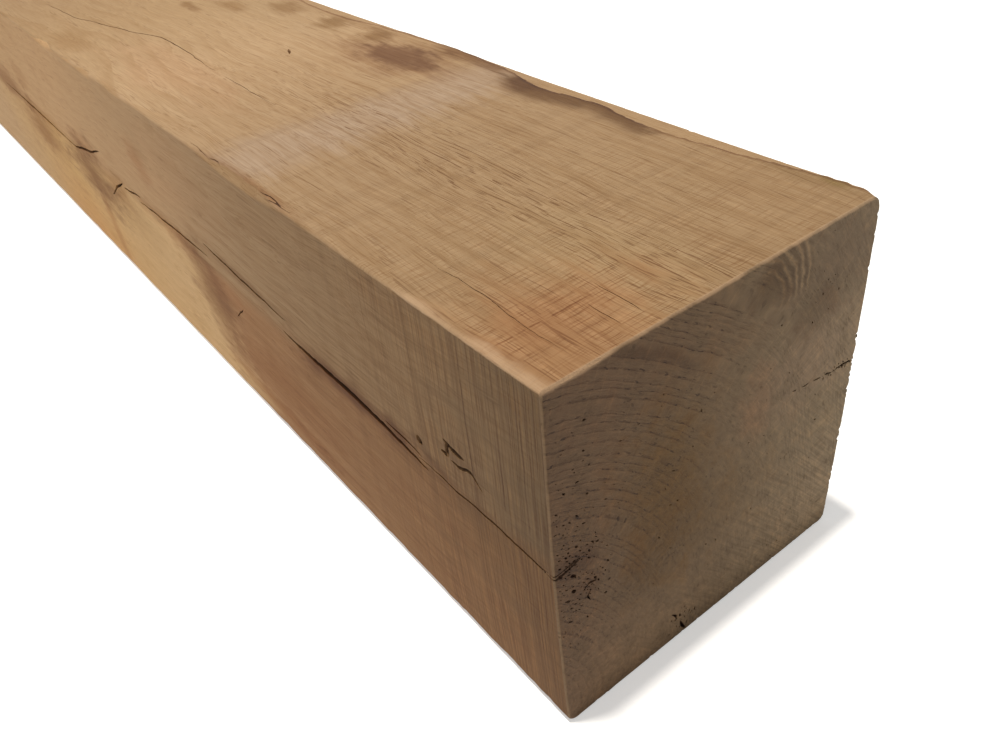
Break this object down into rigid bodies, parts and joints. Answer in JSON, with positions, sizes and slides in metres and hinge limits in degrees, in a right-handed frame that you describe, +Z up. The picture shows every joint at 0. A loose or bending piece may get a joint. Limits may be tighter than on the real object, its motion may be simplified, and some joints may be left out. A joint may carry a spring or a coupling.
{
  "type": "oak beam",
  "caption": "Sawn oak beam of near-square section with flat faces, one waney arris, worn arrises and drying checks along the grain; a structural or mantel timber.",
  "frame": {"origin": "middle of the flat bottom face, halfway along the beam", "axes": "+X along the grain towards the pictured end, +Z up out of the top face, -Y out of the side with the long check; the waney arris is at +Y, +Z"},
  "size_m": [1.2, 0.1442, 0.15],
  "materials": {
    "oak": "rough sawn, dry, uncoated"
  },
  "bodies": {
    "root": {"oak_beam": "oak"}
  },
  "joints": []
}
